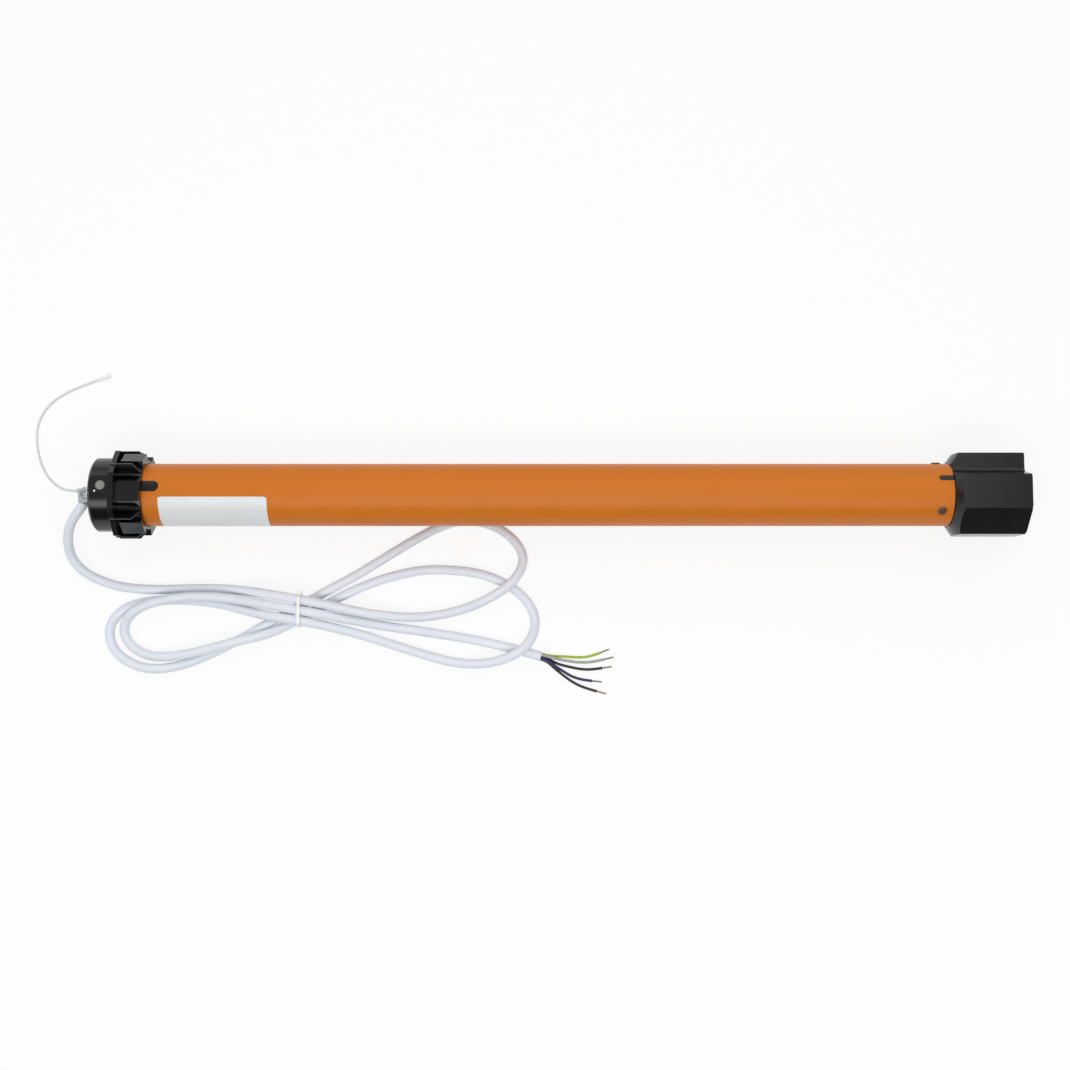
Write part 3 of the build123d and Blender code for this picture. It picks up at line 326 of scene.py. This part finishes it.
finishes = {
    "orange_tube": dict(
        colour=linearOf(211, 118, 27), second=linearOf(206, 114, 26),
        rough=(0.34, 0.42), specular=0.25, grain=0.000006),
    "black_plastic": dict(
        colour=linearOf(6, 6, 8), second=linearOf(10, 10, 12),
        rough=(0.16, 0.25), specular=0.5, grain=0.000008),
    "grey_plastic": dict(
        colour=linearOf(142, 142, 138), second=linearOf(134, 134, 130),
        rough=(0.4, 0.5)),
    "white_plastic": dict(colour=linearOf(228, 227, 222), second=linearOf(220, 219, 214)),
    "white_gloss": dict(
        colour=linearOf(238, 238, 232), second=linearOf(232, 232, 228),
        rough=(0.15, 0.2)),
    "clear_plastic": dict(
        colour=linearOf(244, 246, 248), second=linearOf(238, 242, 246),
        rough=(0.1, 0.16), passing=0.7, grain=0),
    "tie_white": dict(colour=linearOf(246, 246, 246), second=linearOf(240, 240, 240), rough=(0.3, 0.4)),
    "cable_white": dict(
        colour=linearOf(233, 237, 245), second=linearOf(225, 231, 241),
        rough=(0.42, 0.52), under=0.05, grain=0.000008, edge=0),
    "core_grey": dict(colour=linearOf(172, 174, 172), second=linearOf(160, 162, 160), edge=0),
    "core_black": dict(colour=linearOf(18, 18, 20), second=linearOf(13, 13, 15), edge=0),
    "core_blue": dict(colour=linearOf(30, 36, 92), second=linearOf(24, 30, 80), edge=0),
    "core_brown": dict(colour=linearOf(48, 30, 27), second=linearOf(40, 26, 24), edge=0),
    "core_green_yellow": dict(
        colour=linearOf(150, 188, 50), second=linearOf(140, 178, 46),
        stripe=linearOf(226, 222, 74), edge=0),
    "tinned_copper": dict(
        colour=linearOf(150, 144, 136), second=linearOf(128, 120, 112),
        metal=1.0, rough=(0.35, 0.5), edge=0),
    "steel": dict(
        colour=linearOf(176, 172, 166), second=linearOf(160, 156, 150),
        metal=1.0, rough=(0.28, 0.4)),
    "core_steel": dict(
        colour=linearOf(120, 120, 124), second=linearOf(104, 104, 108),
        metal=1.0, rough=(0.4, 0.55)),
    "aluminium": dict(
        colour=linearOf(206, 206, 208), second=linearOf(196, 196, 198),
        metal=1.0, rough=(0.3, 0.42)),
    "copper": dict(
        colour=linearOf(206, 132, 92), second=linearOf(186, 112, 76),
        metal=1.0, rough=(0.3, 0.4)),
    "bronze": dict(
        colour=linearOf(186, 148, 90), second=linearOf(170, 132, 78),
        metal=1.0, rough=(0.35, 0.5)),
    "board_green": dict(colour=linearOf(28, 96, 58), second=linearOf(24, 86, 50), rough=(0.25, 0.35)),
    "magnet": dict(colour=linearOf(120, 120, 124), second=linearOf(110, 110, 114), metal=1.0),
    "rubber": dict(colour=linearOf(26, 26, 27), second=linearOf(22, 22, 23), rough=(0.6, 0.7)),
}
materials = {name: newMaterial(name, **values) for name, values in finishes.items()}
slotOf = {entry["node"]: entry["material_slot"] for entry in frame["record"]["subparts"]}
for name, piece in nodes.items():
    piece.data.materials.clear()
    piece.data.materials.append(materials[slotOf[name]])
rivetFinish = dict(
    colour=linearOf(150, 128, 108), second=linearOf(96, 72, 52),
    rough=(0.3, 0.5), metal=0.9, cloud=400)
nodes["tube_rivets"].data.materials[0] = newMaterial("dulledRivet", **rivetFinish)
print("stage: materials", len(materials))

aerialFinish = dict(
    colour=linearOf(224, 225, 226), second=linearOf(214, 215, 217),
    rough=(0.35, 0.45), grain=0, edge=0)
aerialWire.data.materials.append(newMaterial("aerialSheath", **aerialFinish))
cableWhole.data.materials.append(materials["cable_white"])
for curve in (cableWhole, aerialWire):
    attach(curve, "motor")
for name, curve in cores.items():
    curve.data.materials.append(materials["core_" + name])
    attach(curve, "motor")
smoothLength(cableRoute)
smoothLength(aerialRoute)
for name, curve in cores.items():
    route = mm(coreRoutes[name])
    smoothLength(route)


# Translucent clip at the head: a round drum with a bowl in its top, and a collar for the cable and the aerial
clipSettings = {
    "steps": 48,
    "drumPlace": (-0.00715, -0.00015, 0.0),
    "collarPlace": (-0.0094, 0.0, 0.0),
    "nozzlePlace": (0.0, 0.0026, 0.0025),
    "neckPlace": (0, 0, 0),
    "drum": [
        (0, -5), (4.2, -5), (5.3, -4.6), (5.8, -3.7), (5.85, -2), (5.7, 0), (5.85, 2), (5.8, 3.7),
        (5.3, 4.6), (4.3, 5), (3.5, 4.7), (2.9, 3.8), (2.4, 2.7), (1.2, 2.2), (0, 2.1),
    ],
    "collar": [
        (0, 0.5), (3.9, 0.5), (4.3, 2), (4.4, 4.2), (4.3, 5.2), (4.0, 6.0), (3.56, 6.4), (3.5, 6.2),
        (3.5, 5.9), (0, 5.9),
    ],
    "nozzle": [
        (0, 8), (1.9, 8), (1.9, 12.9), (1.7, 13.5), (1.3, 13.8), (0.9, 13.7), (0.9, 13.1), (0, 13.1),
    ],
    "neck": [(0, 0.1), (7.4, 0.1), (7.6, 0.5), (7.6, 2.4), (7.0, 3.0), (0, 3.2)],
}


def addTurned(verts, faces, profile, place, axes, steps):
    first = len(verts)
    side, second, along = (Vector(axis) for axis in axes)
    for radius, height in profile:
        for step in range(steps):
            angle = 2 * math.pi * step / steps
            flat = side * math.cos(angle) + second * math.sin(angle)
            verts.append(Vector(place) + (flat * radius + along * height) / 1000)
    for row in range(len(profile) - 1):
        for step in range(steps):
            here, beside = first + row * steps + step, first + row * steps + (step + 1) % steps
            faces.append((here, beside, beside + steps, here + steps))


def meshPiece(name, verts, faces, smoothAngle=40):
    mesh = bpy.data.meshes.new(name)
    mesh.from_pydata(verts, [], faces)
    form = bmesh.new()
    form.from_mesh(mesh)
    bmesh.ops.remove_doubles(form, verts=form.verts, dist=0.000005)
    bmesh.ops.recalc_face_normals(form, faces=form.faces)
    form.to_mesh(mesh)
    form.free()
    mesh.shade_smooth()
    mesh.set_sharp_from_angle(angle=math.radians(smoothAngle))
    piece = bpy.data.objects.new(name, mesh)
    bpy.context.scene.collection.objects.link(piece)
    return piece


across, deep, up = (1, 0, 0), (0, 1, 0), (0, 0, 1)
clipAxes = {
    "drum": (across, deep, up),
    "collar": (across, up, (0, -1, 0)),
    "nozzle": (deep, up, (-1, 0, 0)),
    "neck": (deep, up, (-1, 0, 0)),
}
clipVerts, clipFaces = [], []
for form, axes in clipAxes.items():
    place = clipSettings[form + "Place"]
    addTurned(clipVerts, clipFaces, clipSettings[form], place, axes, clipSettings["steps"])
clip = meshPiece("cableClip", clipVerts, clipFaces)
clip.data.materials.append(materials["clear_plastic"])
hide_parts("cable_clip")
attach(clip, "motor")
print("stage: clip")

# Blank label wrapped on the front of the tube
labelSettings = {
    "start": 0.049, "end": 0.126, "top": 9.0, "bottom": 104.0,
    "radius": 0.02256, "corner": 0.0008, "columns": 32, "rows": 36,
}


def labelPlate(values):
    arc = math.radians(values["bottom"] - values["top"]) * values["radius"]
    verts, faces = [], []
    columns, rows = values["columns"], values["rows"]
    for column in range(columns + 1):
        along = column / columns
        x = values["start"] + (values["end"] - values["start"]) * along
        edge = min(x - values["start"], values["end"] - x)
        inset = 0.0
        if edge < values["corner"]:
            inset = values["corner"] - math.sqrt(values["corner"] ** 2 - (values["corner"] - edge) ** 2)
        for row in range(rows + 1):
            length = inset + (arc - 2 * inset) * row / rows
            angle = math.radians(values["top"]) + length / values["radius"]
            verts.append((x, -values["radius"] * math.sin(angle), values["radius"] * math.cos(angle)))
    for column in range(columns):
        for row in range(rows):
            first = column * (rows + 1) + row
            faces.append((first, first + 1, first + rows + 2, first + rows + 1))
    mesh = bpy.data.meshes.new("blankLabel")
    mesh.from_pydata(verts, [], faces)
    for face in mesh.polygons:
        face.use_smooth = True
    plate = bpy.data.objects.new("blankLabel", mesh)
    bpy.context.scene.collection.objects.link(plate)
    return plate


label = labelPlate(labelSettings)
labelFinish = dict(
    colour=linearOf(233, 236, 235), second=linearOf(225, 228, 231),
    rough=(0.3, 0.38), grain=0.000004, edge=0)
label.data.materials.append(newMaterial("labelFoil", **labelFinish))
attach(label, "motor")
print("stage: label")

# Floor and soft studio light
floorSettings = {
    "place": (0.316, 0, sizeAtStart[0][2]), "side": 8.0, "colour": (0.93, 0.93, 0.93, 1),
    "glow": 0.84, "roughness": 0.9, "specular": 0.1,
}
bpy.ops.mesh.primitive_plane_add(size=floorSettings["side"], location=floorSettings["place"])
floor = bpy.context.object
floor.name = "studioFloor"
floorMaterial = bpy.data.materials.new("floorPaper")
floorMaterial.use_nodes = True
floorTree = floorMaterial.node_tree
floorShader = floorTree.nodes["Principled BSDF"]
floorShader.inputs["Base Color"].default_value = floorSettings["colour"]
floorShader.inputs["Roughness"].default_value = floorSettings["roughness"]
floorShader.inputs["Specular IOR Level"].default_value = floorSettings["specular"]
floorGlow = floorTree.nodes.new("ShaderNodeEmission")  # lifts the paper to white without lighting the motor
floorRay = floorTree.nodes.new("ShaderNodeLightPath")
floorSeen = addMath(floorTree, "MAXIMUM")
floorTree.links.new(floorRay.outputs["Is Camera Ray"], floorSeen.inputs[0])
floorTree.links.new(floorRay.outputs["Is Transmission Ray"], floorSeen.inputs[1])
floorSeenToo = addMath(floorTree, "MAXIMUM")
floorTree.links.new(floorSeen.outputs["Value"], floorSeenToo.inputs[0])
floorTree.links.new(floorRay.outputs["Is Glossy Ray"], floorSeenToo.inputs[1])
floorShare = addMath(floorTree, "MULTIPLY", floorSettings["glow"])
floorTree.links.new(floorSeenToo.outputs["Value"], floorShare.inputs[0])
floorMix = floorTree.nodes.new("ShaderNodeMixShader")
floorTree.links.new(floorShare.outputs["Value"], floorMix.inputs["Fac"])
floorTree.links.new(floorShader.outputs["BSDF"], floorMix.inputs[1])
floorTree.links.new(floorGlow.outputs["Emission"], floorMix.inputs[2])
floorTree.links.new(floorMix.outputs["Shader"], floorTree.nodes["Material Output"].inputs["Surface"])
floor.data.materials.append(floorMaterial)

lightSettings = {
    "topBox": {"place": (0.4, -0.05, 1.7), "size": (2.6, 1.3), "power": 10.5},
    "frontBox": {"place": (0.25, -0.95, 1.35), "size": (2.4, 0.6), "power": 12.5},
    "rearBox": {"place": (0.35, 1.4, 0.9), "size": (2.8, 1.0), "power": 5.2},
    "leftBox": {"place": (-1.5, 0.2, 0.9), "size": (1.2, 1.0), "power": 2.5},
}
lightAim = (0.316, -0.03, 0)
for name, values in lightSettings.items():
    data = bpy.data.lights.new(name, "AREA")
    data.shape = "RECTANGLE"
    data.size, data.size_y = values["size"]
    data.energy = values["power"]
    lamp = bpy.data.objects.new(name, data)
    lamp.location = values["place"]
    aim = Vector(lightAim) - Vector(values["place"])
    lamp.rotation_euler = aim.to_track_quat("-Z", "Y").to_euler()
    bpy.context.scene.collection.objects.link(lamp)
worldSettings = {"front": 0.1, "rear": 0.55, "frontFrom": -0.7, "rearFrom": 0.5}
world = bpy.data.worlds.new("studio")
world.use_nodes = True
worldTree = world.node_tree
worldPlace = worldTree.nodes.new("ShaderNodeTexCoord")
worldParts = worldTree.nodes.new("ShaderNodeSeparateXYZ")
worldRange = worldTree.nodes.new("ShaderNodeMapRange")  # darker towards the front, as the dark flats show
worldRange.inputs["From Min"].default_value = worldSettings["frontFrom"]
worldRange.inputs["From Max"].default_value = worldSettings["rearFrom"]
worldRange.inputs["To Min"].default_value = worldSettings["front"]
worldRange.inputs["To Max"].default_value = worldSettings["rear"]
worldTree.links.new(worldPlace.outputs["Generated"], worldParts.inputs["Vector"])
worldTree.links.new(worldParts.outputs["Y"], worldRange.inputs["Value"])
worldTree.links.new(worldRange.outputs["Result"], worldTree.nodes["Background"].inputs["Strength"])
worldTree.nodes["Background"].inputs["Color"].default_value = (1, 1, 1, 1)
bpy.context.scene.world = world
print("stage: floor and light")
